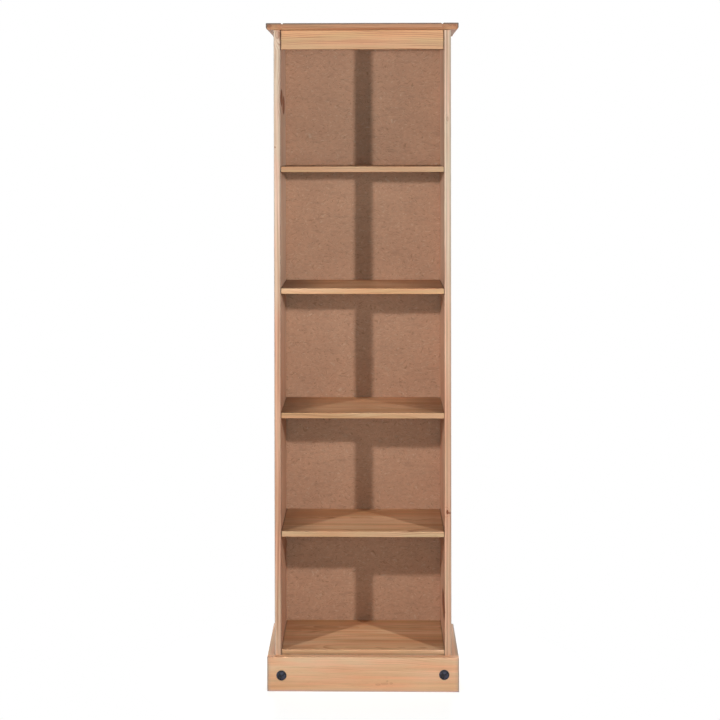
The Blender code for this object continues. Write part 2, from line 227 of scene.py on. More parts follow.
class FixingSettings(bpy.types.PropertyGroup):
    """The studs of the plinth, and the screws, cams and bolts."""

    iron: colour("Black iron", "Blackened face of the studs", "1E191B")
    rubbed: colour("Rubbed iron", "High spots of the studs", "47475A")
    zinc: colour("Zinc", "Plated screws, cams and bolts", "B4B6B8")
    dent_size: length("Dent size", "Spacing of the hammer's dents", 0.0052)
    dent_depth: length("Dent depth", "Depth of the hammer's dents", 0.0003)
    stud_rim: length("Stud rim", "Straight edge of a stud under its dome", 0.0008)


def arris_tint_settings(name, summary, tint, width, line, haze):
    """Settings for wax, or wear, that runs along an arris."""
    return settings_group(
        name,
        summary,
        tint=colour("Tint", "Colour of the line and of its soft edge", tint),
        width=length("Width", "Width of the line", width),
        line=number("Line share", "How strong the line is, from 0 to 1", line),
        haze=number("Haze share", "How strong the soft edge beside the line is, from 0 to 1", haze),
    )


class StageSettings(bpy.types.PropertyGroup):
    """The floor, the lamps and the camera."""

    paper: colour("Floor", "Pale paper of the floor", "D2D2D0")
    floor_size: length("Floor size", "Width of the floor", 14)
    camera: position("Camera", "Place of the lens before the plinth's face", (0.0255, -4.158, 1.496))
    lens: number("Lens", "Focal length in millimetres on a 36 mm sensor", 77.08)
    heading: turn("Heading", "Turn of the camera to the left", 1.0359)
    tilt: turn("Tilt", "Tilt of the camera below level", 0.6528)
    roll: turn("Roll", "Roll of the camera", -0.0904)
    shift_across: number("Shift across", "Sideways lens shift as a share of the frame", 0.0224)
    shift_up: number("Shift up", "Upward lens shift as a share of the frame", -0.282)
    lamp_left: position("Left lamp", "Where the left lamp stands", (-1.97, -1.95, 1.662))
    lamp_right: position("Right lamp", "Where the right lamp stands", (2.08, -2.09, 1.62))
    lamp_aim: length("Lamp aim", "Height at which the lamps are aimed", 0.3)
    lamp_size: length("Lamp size", "Width of each lamp", 0.09)
    lamp_left_power: number("Left lamp power", "Power of the left lamp in watts", 43.6)
    lamp_right_power: number("Right lamp power", "Power of the right lamp in watts", 49.2)
    fill_tint: colour("Fill tint", "Colour of the soft light below the camera", "C8F6FF")
    fill_height: length("Fill height", "Height of the soft light below the camera", 1.4)
    fill_size: length("Fill size", "Width of the soft light below the camera", 1)
    fill_power: number("Fill power", "Power of the soft light in watts", 28)
    rear_lamp: position("Rear lamp", "Where the soft light behind stands", (0, 2.2, 4.4))
    rear_power: number("Rear power", "Power of the soft light behind", 120)
    sky: number("Sky", "Strength of the light from all round", 0.02)


PARTS = {
    "top": TopSettings,
    "sides": SideSettings,
    "header_rail": HeaderSettings,
    "shelves": ShelfSettings,
    "plinth": PlinthSettings,
    "blocks": BlockSettings,
    "dowels": DowelSettings,
    "back_panel": PanelSettings,
    "fixings": FixingSettings,
    "side_edges": arris_tint_settings("SideEdges", "The sides' worn outer arrises.", "9C9892", 0.0026, 0.6, 0.04),
    "top_edges": arris_tint_settings("TopEdges", "The handled arrises of the top.", "5E5650", 0.0052, 0.8, 0.1),
    "plinth_edges": arris_tint_settings("PlinthEdges", "The plinth's worn arrises.", "7C7C7C", 0.005, 0.55, 0.16),
    "plinth_foot": arris_tint_settings("PlinthFoot", "The scuffed foot of the plinth.", "A5AABE", 0.004, 0.35, 0.1),
    # Painted shade in the corners where boards meet inside the case: along the ends of the shelf tops and
    # along the left side's inner front arris.
    "corners": arris_tint_settings("Corners", "Dark wax in the corners of the case.", "3C261C", 0.0022, 0.5, 0.2),
    # Painted shade that darkens the shelf tops towards their ends, beside the sides.
    "shelf_ends": arris_tint_settings("ShelfEnds", "The shelves' deeper ends.", "3C261C", 0.048, 0.1, 0.16),
    "stage": StageSettings,
}

LABELS = {part: part.replace("_", " ").capitalize() for part in PARTS}

BookcaseSettings = settings_group(
    "BookcaseSettings",
    "Everything that the sidebar shows.",
    **{part: PointerProperty(type=kind, name=LABELS[part]) for part, kind in PARTS.items()},
)


class Wiring:
    """Adds nodes to a tree. An input takes a value, or the socket that feeds it."""

    def __init__(self, tree):
        self.tree = tree

    def feed(self, socket, value):
        """Links a socket, or sets its value."""
        if isinstance(value, bpy.types.NodeSocket):
            self.tree.links.new(value, socket)
        elif socket.type == "RGBA":
            socket.default_value = (*value[:3], 1)
        else:
            socket.default_value = value

    def add(self, kind, inputs=None, **settings):
        """A node with its settings and inputs."""
        node = self.tree.nodes.new(kind)
        for name, value in settings.items():
            setattr(node, name, value)
        for name, value in (inputs or {}).items():
            self.feed(node.inputs[name], value)
        return node

    def in_order(self, kind, *values, **settings):
        """The first output of a node whose inputs take the values in order."""
        node = self.add(kind, **settings)
        for socket, value in zip(node.inputs, values):
            self.feed(socket, value)
        return node.outputs[0]

    def maths(self, operation, *values):
        """One sum on one or two numbers."""
        return self.in_order("ShaderNodeMath", *values, operation=operation)

    def times(self, first, second):
        return self.maths("MULTIPLY", first, second)

    def plus(self, first, second):
        return self.maths("ADD", first, second)

    def minus(self, first, second):
        return self.maths("SUBTRACT", first, second)

    def vector(self, operation, *values):
        """One sum on one or two vectors."""
        first = self.in_order("ShaderNodeVectorMath", *values, operation=operation)
        return first.node.outputs["Value"] if operation == "LENGTH" else first

    def split(self, vector):
        """The X, Y and Z of a vector, by name."""
        return self.add("ShaderNodeSeparateXYZ", {"Vector": vector}).outputs

    def join(self, x=0, y=0, z=0):
        """A vector from three numbers."""
        return self.add("ShaderNodeCombineXYZ", {"X": x, "Y": y, "Z": z}).outputs[0]

    def noise(self, place, stretch, detail=2, roughness=0.5, output="Fac"):
        """Soft noise, with the number of its waves in a metre, the same all round or along each axis."""
        scaled = self.vector("MULTIPLY", place, (stretch,) * 3 if isinstance(stretch, int) else stretch)
        inputs = {"Vector": scaled, "Scale": 1, "Detail": detail, "Roughness": roughness}
        return self.add("ShaderNodeTexNoise", inputs).outputs[output]

    def steps(self, value, low, high, start=0, end=1):
        """Passes smoothly from start to end as a value goes from low to high."""
        inputs = {"Value": value, "From Min": low, "From Max": high, "To Min": start, "To Max": end}
        return self.add("ShaderNodeMapRange", inputs, interpolation_type="SMOOTHSTEP").outputs[0]

    def blend(self, share, first, second, mode="MIX"):
        """Blends two colours."""
        node = self.add("ShaderNodeMix", data_type="RGBA", blend_type=mode)
        colours = [socket for socket in node.inputs if socket.type == "RGBA"]
        for socket, value in zip((node.inputs[0], *colours), (share, first, second)):
            self.feed(socket, value)
        return next(socket for socket in node.outputs if socket.type == "RGBA")

    def shade(self, tint, value):
        """A colour made lighter or darker by a number near 1, or by one each for red, green and blue."""
        shares = value if isinstance(value, tuple) else self.join(value, value, value)
        return self.blend(1, tint, shares, "MULTIPLY")

    def place_group(self, name, **inputs):
        """Places a node group, made the first time. An input's name has _ for a space."""
        tree = bpy.data.node_groups.get(name) or GROUP_MAKERS[name]()
        named = {label.replace("_", " "): value for label, value in inputs.items()}
        return self.add("ShaderNodeGroup", named, node_tree=tree).outputs


def new_group(name, inputs, outputs):
    """A node group with its sockets, named by kind. Gives its tree, wiring, inputs and outputs."""
    tree = bpy.data.node_groups.new(name, "ShaderNodeTree")
    for in_out, kinds in (("INPUT", inputs), ("OUTPUT", outputs)):
        for kind, labels in kinds.items():
            for label in labels:
                tree.interface.new_socket(label, in_out=in_out, socket_type=f"NodeSocket{kind}")
    entry = tree.nodes.new("NodeGroupInput").outputs
    leave = tree.nodes.new("NodeGroupOutput").inputs
    return tree, Wiring(tree), entry, leave


def grain_group():
    """Growth rings round a pith, cut wherever the board lies, with fibres and a broad drift of colour."""
    tree, w, entry, leave = new_group(
        "Pine grain",
        {
            "Vector": ("Place", "Pith"),
            "Float": ("Ring Width", "Wander", "Waves", "Bend", "Figure", "Seed", "End"),
            "Color": ("Pale", "Warm", "Late"),
        },
        {"Color": ("Color",), "Float": ("Roughness", "Height")},
    )
    seed, end = entry["Seed"], entry["End"]
    far = w.vector("ADD", entry["Place"], w.join(seed, w.times(seed, 0.37), w.times(seed, 0.71)))

    stray = w.noise(far, w.join(entry["Waves"], 3, 3), 1, output="Color")
    wander = w.times(entry["Wander"], 4)
    moved = w.vector("MULTIPLY", w.vector("SUBTRACT", stray, (0.5, 0.5, 0.5)), w.join(0, wander, wander))
    section = w.vector("MULTIPLY", w.vector("SUBTRACT", entry["Place"], entry["Pith"]), (0, 1, 1))
    radius = w.plus(w.vector("LENGTH", w.vector("ADD", section, moved)), entry["Bend"])
    ripple = w.times(w.noise(far, (16, 120, 120)), 0.0012)
    rings = w.maths("DIVIDE", w.plus(radius, ripple), entry["Ring Width"])
    uneven = w.noise(w.join(w.times(rings, 0.45), seed), 1, 1)
    rings = w.plus(rings, w.times(uneven, 1.6))
    phase = w.maths("FRACT", rings)
    late = w.times(w.steps(phase, 0.25, 0.93), w.steps(phase, 0.94, 1, 1, 0))
    tone = w.noise(w.join(w.maths("FLOOR", rings), seed), (0.83, 1, 1), 0)
    late = w.times(late, w.steps(tone, 0.25, 0.7, 0.25, 1))
    late = w.times(late, w.steps(w.noise(far, (4, 70, 70)), 0.38, 0.62, 0.2, 1))

    fibre = w.noise(far, (9, 700, 700), 3, 0.6)
    streak = w.noise(far, (1.7, 110, 110), 3, 0.6)
    cloud = w.noise(far, (2.2, 14, 14), 2)
    duct = w.steps(w.noise(far, (55, 1500, 1500), 0), 0.7, 0.78)

    wood = w.blend(w.steps(cloud, 0.34, 0.66), entry["Pale"], entry["Warm"])
    hue = w.steps(w.noise(far, (7, 75, 75), 1), 0.36, 0.64)
    wood = w.blend(1, wood, w.blend(hue, (0.97, 1.02, 1), (1.03, 0.97, 0.97)), "MULTIPLY")
    wood = w.blend(w.times(late, entry["Figure"]), wood, entry["Late"])
    light = w.plus(w.times(streak, 0.36), w.times(fibre, 0.22))
    wood = w.shade(wood, w.plus(w.minus(light, w.times(duct, 0.14)), 0.71))
    w.feed(leave["Color"], w.shade(wood, w.minus(1, w.times(end, 0.06))))
    w.feed(leave["Roughness"], w.plus(w.plus(w.times(fibre, 0.16), w.times(end, 0.18)), 0.4))
    relief = w.plus(w.times(fibre, 0.55), w.times(late, 0.45))
    w.feed(leave["Height"], w.minus(relief, w.times(duct, 0.3)))
    return tree


def stave_group():
    """Parts a wide board into glued strips, each cut from another place in the log."""
    tree, w, entry, leave = new_group(
        "Glued staves",
        {"Vector": ("Place",), "Float": ("Width", "Seed")},
        {"Vector": ("Place",), "Float": ("Tone", "Line")},
    )
    axes = w.split(entry["Place"])
    across = w.plus(w.maths("DIVIDE", axes["Y"], entry["Width"]), 0.5)
    index = w.maths("FLOOR", across)
    cell = w.minus(w.maths("FRACT", across), 0.5)
    throw = w.plus(index, entry["Seed"])
    chance = w.add("ShaderNodeTexWhiteNoise", {"W": throw}, noise_dimensions="1D").outputs
    dice = w.split(chance["Color"])
    side = w.minus(w.times(w.maths("MODULO", w.plus(index, 20), 2), 2), 1)
    place = w.join(
        w.plus(axes["X"], w.times(dice["X"], 7)),
        w.times(w.plus(cell, w.minus(dice["Y"], 0.5)), entry["Width"]),
        w.plus(w.times(axes["Z"], side), w.times(dice["Z"], 0.03)),
    )
    w.feed(leave["Place"], place)
    w.feed(leave["Tone"], chance["Value"])
    w.feed(leave["Line"], w.steps(w.maths("ABSOLUTE", cell), 0.494, 0.499))
    return tree


def knot_group():
    """A knot, with the bend that it gives the rings round it."""
    tree, w, entry, leave = new_group(
        "Knot", {"Vector": ("Place", "Centre", "Span")}, {"Float": ("Mask", "Rim", "Bend")}
    )
    offset = w.vector("DIVIDE", w.vector("SUBTRACT", entry["Place"], entry["Centre"]), entry["Span"])
    wobble = w.times(w.noise(entry["Place"], (160, 240, 240)), 0.3)
    reach = w.plus(w.vector("LENGTH", offset), w.minus(wobble, 0.15))
    w.feed(leave["Mask"], w.steps(reach, 0.82, 1, 1, 0))
    w.feed(leave["Rim"], w.times(w.steps(reach, 0.45, 0.85), w.steps(reach, 0.9, 1.15, 1, 0)))
    w.feed(leave["Bend"], w.steps(reach, 0.3, 3.6, 1, 0))
    return tree


def arris_group():
    """How close a place is to one arris of a board."""
    tree, w, entry, leave = new_group(
        "Handled arris",
        {"Vector": ("Place", "Corner", "Across"), "Float": ("Width",)},
        {"Float": ("Line", "Haze")},
    )
    away = w.vector("MULTIPLY", w.vector("SUBTRACT", entry["Place"], entry["Corner"]), entry["Across"])
    uneven = w.noise(entry["Place"], 45)
    reach = w.maths("DIVIDE", w.vector("LENGTH", away), entry["Width"])
    reach = w.minus(reach, w.times(w.minus(uneven, 0.5), 0.5))
    w.feed(leave["Line"], w.steps(reach, 0.35, 0.95, 1, 0))
    w.feed(leave["Haze"], w.steps(reach, 0.8, 2.6, 1, 0))
    return tree


GROUP_MAKERS = {
    "Pine grain": grain_group,
    "Glued staves": stave_group,
    "Knot": knot_group,
    "Handled arris": arris_group,
}


def new_material(name, **sockets):
    """A material with its shader's own sockets set. Gives it, its wiring and its shader's inputs."""
    material = bpy.data.materials.new(name)
    material.use_nodes = True
    shader = material.node_tree.nodes["Principled BSDF"]
    for label, value in sockets.items():
        shader.inputs[label.replace("_", " ")].default_value = value
    return material, Wiring(material.node_tree), shader.inputs


def finish(w, inputs, tint, roughness, height, depth):
    """Feeds a shader its colour, its roughness and a relief from 0 to 1, at most depth metres."""
    bump = w.add("ShaderNodeBump", {"Strength": 1, "Distance": depth, "Height": height})
    for label, value in (("Base Color", tint), ("Roughness", roughness), ("Normal", bump.outputs[0])):
        w.feed(inputs[label], value)


def handled(w, place, wood, node, arrises, settings, strength=1):
    """Tints the arrises of a board that hands, wax and wear have changed."""
    low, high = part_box(node)
    for arris_name in arrises:
        corner = sum((DIRECTIONS[side] for side in arris_name.split()), Vector())
        edge = w.place_group(
            "Handled arris", Place=place, Corner=corner * (high - low) / 2,
            Across=[abs(share) for share in corner], Width=settings.width,
        )
        for mask, share in ((edge["Haze"], settings.haze), (edge["Line"], settings.line)):
            wood = w.blend(w.times(mask, w.times(strength, share)), wood, settings.tint)
    return wood


def pine(
    name, order, grain, pith, seed, node=None, tone=1, face=1, figure=0.55, wander=0.006, waves=1.3,
    sheen=0.3, staves=False, knots=(), arris_tints=(), wide_face_shades=(), streaks=(), drift=None,
):
    """Waxed wood. The order says which axes run along the grain, across the face and through the board.

    pith is the middle of the tree, across and through from the board's middle. The rings are as dark as
    figure, and stray by wander, in so many waves in a metre. tone, a number or three, shades the board,
    face its two wide faces, and sheen is the specular level. A knot is a centre and a span, both along,
    across and through, and a share of its full darkness. waxes holds lists of arrises to tint, each with
    its settings, and a strength where that isn't 1. depths does so on the wide faces alone. A streak is
    an axis, a place, half its width and how dark it is. drift is an axis, the two places between which
    the wood changes colour, and the colour that then multiplies it.
    """
    material, w, inputs = new_material(name, Coat_Weight=0.05, Coat_Roughness=0.35, Specular_IOR_Level=sheen)
    coordinates = w.add("ShaderNodeTexCoord").outputs
    here = coordinates["Object"]
    axes, facing = w.split(here), w.split(coordinates["Normal"])
    place = w.join(*(axes[axis] for axis in order))
    end, wide = (w.steps(w.maths("ABSOLUTE", facing[order[at]]), 0.6, 0.9) for at in (0, 2))
    bend, marks, cut = 0, [], place
    for centre, span, share in knots:
        knot = w.place_group("Knot", Place=place, Centre=centre, Span=span)
        bend = w.plus(bend, w.times(knot["Bend"], grain.ring_width * knot_bend))
        marks.append((knot, share))
    if staves:
        parted = w.place_group("Glued staves", Place=place, Width=grain.stave_width, Seed=seed)
        cut = parted["Place"]
    rings = w.place_group(
        "Pine grain", Place=cut, Pith=(0, *pith), Ring_Width=grain.ring_width, Wander=wander, Waves=waves,
        Bend=bend, Figure=figure, Seed=seed, End=end, Pale=grain.pale, Warm=grain.warm, Late=grain.late,
    )
    wood = rings["Color"]
    if staves:
        wood = w.shade(wood, w.steps(parted["Tone"], 0, 1, 0.94, 1.05))
        wood = w.shade(wood, w.minus(1, w.times(parted["Line"], 0.22)))
    for knot, share in marks:
        heart = w.shade(w.blend(0.9, wood, grain.late), knot_heart)
        wood = w.blend(w.times(knot["Mask"], share), wood, heart)
        wood = w.blend(w.times(knot["Rim"], share * 0.8), wood, w.shade(heart, 0.65))
    # The sides and shelves darken their wide faces this way as painted shade.
    if face != 1:
        wood = w.shade(wood, w.steps(wide, 0, 1, 1, face))
    if drift:
        axis, start, stop, tint = drift
        wood = w.blend(w.steps(axes[axis], start, stop), wood, w.blend(1, wood, tint, "MULTIPLY"))
    for axis, at, half, dark in streaks:
        away = w.maths("ABSOLUTE", w.minus(axes[axis], at))
        wood = w.shade(wood, w.steps(away, half * 0.3, half, 1 - dark, 1))
    # Painted shade on the wide faces beside the named arrises, then the arris tints: wax, wear and painted
    # shade in corners.
    for arrises, wax, strength in wide_face_shades:
        wood = handled(w, here, wood, node, arrises, wax, w.times(wide, strength))
    for arrises, *wax in arris_tints:
        wood = handled(w, here, wood, node, arrises, *wax)
    if tone != 1:
        wood = w.shade(wood, tone)
    finish(w, inputs, wood, rings["Roughness"], rings["Height"], grain_depth)
    return material


def hardboard(settings):
    """Pressed fibre, smooth in front, with the print of the press screen behind."""
    material, w, inputs = new_material("hardboard", Specular_IOR_Level=0.25)
    coordinates = w.add("ShaderNodeTexCoord").outputs
    place = coordinates["Object"]
    swirl = w.vector("SUBTRACT", w.noise(place, 22, 1, output="Color"), (0.5, 0.5, 0.5))
    laid = w.vector("ADD", place, w.vector("MULTIPLY", swirl, (0.06, 0.06, 0.06)))
    fleck = w.noise(place, 620, 3, 0.7)
    hair = w.noise(laid, (75, 330, 330), 2, 0.6)
    straw = w.noise(laid, (60, 300, 300), 2, 0.6)
    mottle = w.noise(place, (95, 95, 120))
    dash = w.noise(place, (26, 90, 90), 1)
    cloud = w.noise(place, (11, 14, 14), 3, 0.6)
    base = w.blend(w.steps(fleck, 0.5, 0.72, 0, 0.3), settings.board, settings.dark)
    base = w.blend(w.steps(hair, 0.56, 0.7, 0, 0.85), base, settings.light)
    base = w.blend(w.steps(straw, 0.57, 0.7, 0, 0.75), base, settings.dark)
    base = w.shade(base, w.steps(mottle, 0.25, 0.75, 0.95, 1.05))
    base = w.shade(base, w.steps(dash, 0.58, 0.7, 1, 0.92))
    base = w.shade(base, w.steps(cloud, 0.2, 0.8, 0.96, 1.05))
    axes = w.split(place)
    waves = [w.maths("SINE", w.times(axes[axis], math.tau / settings.mesh_pitch)) for axis in "XZ"]
    screen = w.plus(w.times(w.times(*waves), 0.5), 0.5)
    behind = w.steps(w.split(coordinates["Normal"])["Y"], 0.4, 0.8)
    height = w.plus(w.times(fleck, 0.12), w.times(screen, behind))
    finish(w, inputs, base, w.plus(w.times(fleck, 0.2), 0.5), height, fibre_depth)
    return material


def black_iron(settings):
    """Blackened iron, rubbed a little brighter on its high spots."""
    material, w, inputs = new_material("black_iron", Metallic=0.55, Specular_IOR_Level=0.5)
    place = w.add("ShaderNodeTexCoord").outputs["Object"]
    patches = w.noise(place, 180, 4, 0.65)
    grit = w.noise(place, 1500)
    tint = w.blend(w.steps(patches, 0.42, 0.68, 0, 0.8), settings.iron, settings.rubbed)
    rough = w.plus(w.times(patches, 0.3), 0.32)
    finish(w, inputs, tint, rough, w.plus(w.times(grit, 0.5), patches), iron_depth)
    return material


def bright_zinc(settings):
    """Zinc plate with a faint spangle."""
    material, w, inputs = new_material("bright_zinc", Metallic=1)
    spangle = w.noise(w.add("ShaderNodeTexCoord").outputs["Object"], 420, 3, 0.6)
    tint = w.shade(settings.zinc, w.steps(spangle, 0.3, 0.7, 0.82, 1.04))
    finish(w, inputs, tint, w.steps(spangle, 0.3, 0.7, 0.42, 0.28), spangle, zinc_depth)
    return material


def sides_of(edge):
    """The sides of a box centred on the origin that meet at an edge, such as 'front top'."""
    middle = (edge.verts[0].co + edge.verts[1].co) / 2
    return " ".join(name for name, outward in DIRECTIONS.items() if middle.dot(outward) > 0)


def mesh_of(name, shape):
    """The mesh of a bmesh, which is then freed."""
    mesh = bpy.data.meshes.new(name)
    shape.to_mesh(mesh)
    shape.free()
    return mesh


def add_item(name, mesh, material=None):
    """Puts a mesh in the scene."""
    item = bpy.data.objects.new(name, mesh)
    if material:
        mesh.materials.clear()
        mesh.materials.append(material)
    bpy.context.scene.collection.objects.link(item)
    return item


def settle(item):
    """Turns what the modifiers of an item make into its own mesh."""
    bpy.context.view_layer.update()
    made = bpy.data.meshes.new_from_object(item.evaluated_get(bpy.context.evaluated_depsgraph_get()))
    item.modifiers.clear()
    old, item.data = item.data, made
    made.name = old.name
    bpy.data.meshes.remove(old)


def soften(item):
    """Shades rounded faces smooth and keeps flat ones flat."""
    item.data.shade_smooth()
    item.data.set_sharp_from_angle(angle=smooth_angle)
    item.modifiers.new("Weighted normals", "WEIGHTED_NORMAL").keep_sharp = True


def add_box(shape, low, high):
    """A box between two corners, in a bmesh."""
    made = bmesh.ops.create_cube(shape, size=1)["verts"]
    bmesh.ops.scale(shape, vec=Vector(high) - Vector(low), verts=made)
    bmesh.ops.translate(shape, vec=(Vector(low) + Vector(high)) / 2, verts=made)


def add_rod(shape, start, end, radius, sides=bore_sides):
    """A round rod between two points, in a bmesh."""
    along = Vector(end) - Vector(start)
    made = bmesh.ops.create_cone(
        shape, cap_ends=True, segments=sides, radius1=radius, radius2=radius, depth=along.length
    )["verts"]
    turned = along.to_track_quat("Z", "Y").to_matrix().to_4x4()
    matrix = Matrix.Translation((Vector(start) + Vector(end)) / 2) @ turned
    bmesh.ops.transform(shape, matrix=matrix, verts=made)


def cut_out(item, shape):
    """Cuts what a bmesh holds, in the row's frame, out of an item."""
    mesh = mesh_of("cutter", shape)
    tool = add_item("cutter", mesh)
    boolean = item.modifiers.new("Hollows", "BOOLEAN")
    boolean.operation = "DIFFERENCE"
    boolean.solver = "EXACT"
    boolean.object = tool
    settle(item)
    bpy.data.objects.remove(tool)
    bpy.data.meshes.remove(mesh)


def grow(low, high, by):
    """The corners of a box made larger all round."""
    return low - Vector((by, by, by)), high + Vector((by, by, by))


def fixing_rod(node):
    """The bore of a fixing as a start, an end and a radius, or nothing for any other node."""
    low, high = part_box(node)
    middle, size = (low + high) / 2, high - low
    if node.startswith("dowel_") or node.startswith("cam_bolt_"):
        axis = max(range(3), key=lambda at: size[at])
        radius = size[(axis + 1) % 3] / 2 + joint_gap
    elif node.startswith("cam_"):
        axis, radius = 2, size.x / 2 + joint_gap
    elif node.startswith("panel_screw_"):
        axis, radius = 1, screw_shank / 2 + joint_gap
    elif node.startswith("stud_"):
        axis, radius = 1, stud_shank / 2 + joint_gap
    else:
        return None
    half = Vector()
    half[axis] = size[axis] / 2 + joint_gap
    return middle - half, middle + half, radius


def bore_for_fixings(item, low, high):
    """Bores a board for every fixing that reaches into its box."""
    shape = bmesh.new()
    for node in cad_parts:
        rod = fixing_rod(node)
        fixing_low, fixing_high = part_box(node)
        if rod and all(fixing_high[at] > low[at] and fixing_low[at] < high[at] for at in range(3)):
            add_rod(shape, *rod)
    if shape.verts:
        cut_out(item, shape)
    else:
        shape.free()


def board(node, material, slot, rounds, corners=None, chamfers=None, slots=()):
    """A board with rounded arrises in the place of a CAD node, bored for its fixings.

    rounds gives a radius to the arrises that it names, and chamfers a flat. slots are boxes cut out.
    """
    low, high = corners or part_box(node)
    middle, size = (low + high) / 2, high - low
    shape = bmesh.new()
    bmesh.ops.create_cube(shape, size=1)
    bmesh.ops.scale(shape, vec=size, verts=shape.verts)
    for name, depth in (chamfers or {}).items():
        edges = [edge for edge in shape.edges if sides_of(edge) == name]
        bmesh.ops.bevel(shape, geom=edges, offset=depth, offset_type="OFFSET", segments=1, affect="EDGES")
    largest = max(rounds.values())
    weights = shape.edges.layers.float.new("bevel_weight_edge")
    for edge in shape.edges:
        edge[weights] = rounds.get(sides_of(edge), 0) / largest
    item = add_item(f"{node}_wood", mesh_of(f"{node}_wood", shape), material)
    item.location = middle
    bevel = item.modifiers.new("Rounded arrises", "BEVEL")
    bevel.limit_method = "WEIGHT"
    bevel.width = largest
    bevel.segments = round_segments
    settle(item)
    if slots:
        shape = bmesh.new()
        for slot_low, slot_high in slots:
            add_box(shape, slot_low, slot_high)
        cut_out(item, shape)
    bore_for_fixings(item, low, high)
    soften(item)
    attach(item, "root")
    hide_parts(node)
    return item


def every_arris(radius, **larger):
    """The same radius on all twelve arrises, but for those named, as in front_top=0.002."""
    names = list(DIRECTIONS)
    rounds = {f"{a} {b}": radius for at, a in enumerate(names) for b in names[at + 1 :]}
    rounds.update({pair.replace("_", " "): value for pair, value in larger.items()})
    return rounds


def turned_mesh(name, points, sides):
    """A line of (radius, height) points turned about Z."""
    shape = bmesh.new()
    verts = [shape.verts.new((radius, 0, height)) for radius, height in points]
    edges = [shape.edges.new(pair) for pair in zip(verts, verts[1:])]
    bmesh.ops.spin(
        shape, geom=verts + edges, axis=(0, 0, 1), angle=math.tau, steps=sides, use_duplicate=False
    )
    bmesh.ops.remove_doubles(shape, verts=shape.verts, dist=joint_gap / 10)
    bmesh.ops.recalc_face_normals(shape, faces=shape.faces)
    return mesh_of(name, shape)


class StepOperator:
    """What every step of the making shares."""

    bl_options = {"REGISTER", "UNDO"}

    def execute(self, context):
        self.make(context.scene.bookcase)
        return {"FINISHED"}


class BOOKCASE_OT_top(StepOperator, bpy.types.Operator):
    """Make the centre board of the top and its two end caps"""

    bl_idname = "bookcase.top"
    bl_label = "Top"

    tone = 1.05
    knots = {
        "left": (((-0.1475, -0.0125, 0.0012), (0.006, 0.007, 0.0045), 0.45),),
        "right": (((-0.1475, 0.011, 0.002), (0.006, 0.004, 0.003), 0.35),),
    }

    def make(self, settings):
        top, edges = settings.top, settings.top_edges
        caps = {hand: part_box(f"top_cap_{hand}") for hand, _ in HANDS}
        lines = {
            "front top": top.upper_round, "front bottom": top.lower_round,
            "back top": top.upper_round, "back bottom": arris,
        }
        node = "top_centre_board"
        low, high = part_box(node)
        low.x, high.x = caps["left"][1].x + joint_gap, caps["right"][0].x - joint_gap
        grooves = {f"{hand} top": top.groove_depth for hand, _ in HANDS}
        wood = pine(
            "top_centre_pine", FLAT, top, (0.012, -0.055), 3.1, node, self.tone,
            figure=0.85, wander=0.009, waves=3, staves=True, arris_tints=((("front top",), edges),),
        )
        board(node, wood, "top_pine", lines, corners=(low, high), chamfers=grooves)
        for hand, sign in HANDS:
            node = f"top_cap_{hand}"
            rounds = {
                **lines, f"{hand} top": top.upper_round, f"{hand} bottom": top.lower_round,
                f"{hand} front": top.upper_round, f"{hand} back": arris,
            }
            wood = pine(
                f"{node}_pine", CAP, top, (0.02 * sign, 0.03), 5.3 + sign, node, self.tone,
                knots=self.knots[hand], arris_tints=((("front top", f"{hand} front", f"{hand} top"), edges),),
            )
            board(node, wood, "top_pine", rounds, chamfers={f"{OTHER[hand]} top": top.groove_depth})


